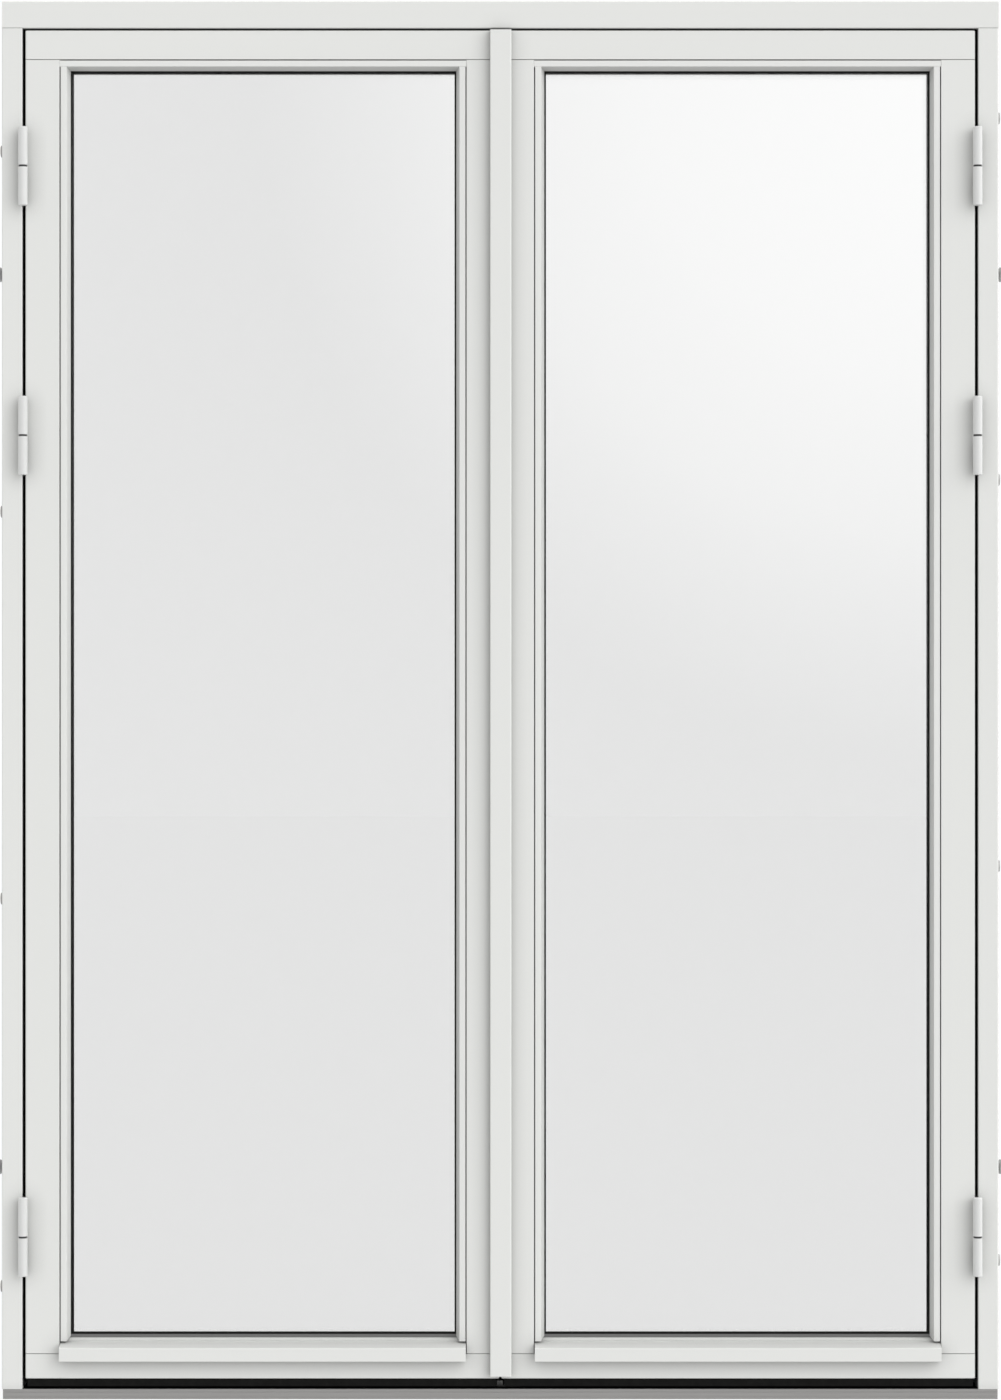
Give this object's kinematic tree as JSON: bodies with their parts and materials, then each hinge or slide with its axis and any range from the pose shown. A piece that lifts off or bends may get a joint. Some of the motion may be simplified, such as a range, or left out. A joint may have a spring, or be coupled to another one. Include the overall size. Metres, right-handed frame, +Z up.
{
  "type": "glazed timber french doors",
  "caption": "Outward-opening glazed timber french doors with frame, threshold, barrel hinges and an inside lever that works shoot bolts.",
  "frame": {"origin": "middle of the threshold's underside, at mid depth of the frame", "axes": "+X to the right seen from outside, +Y into the room (outdoors is -Y), +Z up"},
  "size_m": [1.506, 0.141, 2.09],
  "materials": {
    "white_paint": "white painted timber, satin",
    "white_metal": "white powder-coated steel",
    "aluminium": "anodised, matt",
    "composite": "black composite",
    "rubber": "black rubber",
    "white_rubber": "pale grey weatherstrip",
    "steel": "zinc-plated steel",
    "clear_glass": "clear float glass",
    "spacer_black": "black warm-edge spacer",
    "grey_plastic": "grey plastic sleeve",
    "dark_washer": "dark nylon washer"
  },
  "bodies": {
    "frame": {"frame_head": "white_paint", "frame_jamb_left": "white_paint", "frame_jamb_right": "white_paint", "threshold_nosing": "aluminium", "threshold_core": "composite", "threshold_stop": "composite", "threshold_keep": "steel", "head_keep": "steel", "weatherstrips": "rubber", "fixing_sleeves": "grey_plastic", "frame_adjusters": "steel", "hinge_pins": "steel", "hinge_washers": "dark_washer", "frame_bottom_hinge_left": "white_metal", "frame_bottom_hinge_right": "white_metal", "frame_middle_hinge_left": "white_metal", "frame_middle_hinge_right": "white_metal", "frame_top_hinge_left": "white_metal", "frame_top_hinge_right": "white_metal"},
    "right_leaf": {"right_hinge_stile": "white_paint", "right_meeting_stile": "white_paint", "right_top_rail": "white_paint", "right_bottom_rail": "white_paint", "right_top_bead": "white_paint", "right_side_beads": "white_paint", "right_drip_bead": "white_paint", "right_panes": "clear_glass", "right_spacers": "spacer_black", "right_glazing_rubber": "rubber", "right_foot_seal": "rubber", "right_bottom_hinge": "white_metal", "right_middle_hinge": "white_metal", "right_top_hinge": "white_metal", "astragal": "white_paint", "lock_faceplate": "steel", "lock_gearbox": "steel", "handle_backplate": "steel"},
    "left_leaf": {"left_hinge_stile": "white_paint", "left_meeting_stile": "white_paint", "left_top_rail": "white_paint", "left_bottom_rail": "white_paint", "left_top_bead": "white_paint", "left_side_beads": "white_paint", "left_drip_bead": "white_paint", "left_panes": "clear_glass", "left_spacers": "spacer_black", "left_glazing_rubber": "rubber", "left_foot_seal": "rubber", "left_bottom_hinge": "white_metal", "left_middle_hinge": "white_metal", "left_top_hinge": "white_metal", "left_inner_stop": "white_paint", "left_top_bolt_plate": "steel", "left_foot_bolt_plate": "steel"},
    "lever": {"lever_handle": "steel"},
    "upper_shoot_rod": {"upper_rod": "steel"},
    "lower_shoot_rod": {"lower_rod": "steel"},
    "top_flush_bolt": {"left_top_flush_bolt": "steel"},
    "foot_flush_bolt": {"left_foot_flush_bolt": "steel"}
  },
  "joints": [
    {"name": "right_leaf_swing", "type": "hinge", "parent": "frame", "child": "right_leaf", "pos_m": [0.71225, -0.0695, 1], "axis": [0, 0, 1], "range_deg": [0, 100]},
    {"name": "left_leaf_swing", "type": "hinge", "parent": "frame", "child": "left_leaf", "pos_m": [-0.71225, -0.0695, 1], "axis": [0, 0, -1], "range_deg": [0, 80]},
    {"name": "lever_turn", "type": "hinge", "parent": "right_leaf", "child": "lever", "pos_m": [0.04, 0.0115, 1.04], "axis": [0, -1, 0], "range_deg": [0, 90]},
    {"name": "upper_rod_slide", "type": "slide", "parent": "right_leaf", "child": "upper_shoot_rod", "axis": [0, 0, 1], "range_m": [0, 0.018]},
    {"name": "lower_rod_slide", "type": "slide", "parent": "right_leaf", "child": "lower_shoot_rod", "axis": [0, 0, -1], "range_m": [0, 0.018]},
    {"name": "top_flush_bolt_slide", "type": "slide", "parent": "left_leaf", "child": "top_flush_bolt", "axis": [0, 0, 1], "range_m": [0, 0.018]},
    {"name": "foot_flush_bolt_slide", "type": "slide", "parent": "left_leaf", "child": "foot_flush_bolt", "axis": [0, 0, -1], "range_m": [0, 0.018]}
  ],
  "couplings": [
    {"joint": "left_leaf_swing", "follows": "right_leaf_swing", "ratio": 0.8},
    {"joint": "upper_rod_slide", "follows": "lever_turn", "m_per_rad": 0.011459},
    {"joint": "lower_rod_slide", "follows": "lever_turn", "m_per_rad": 0.011459}
  ]
}
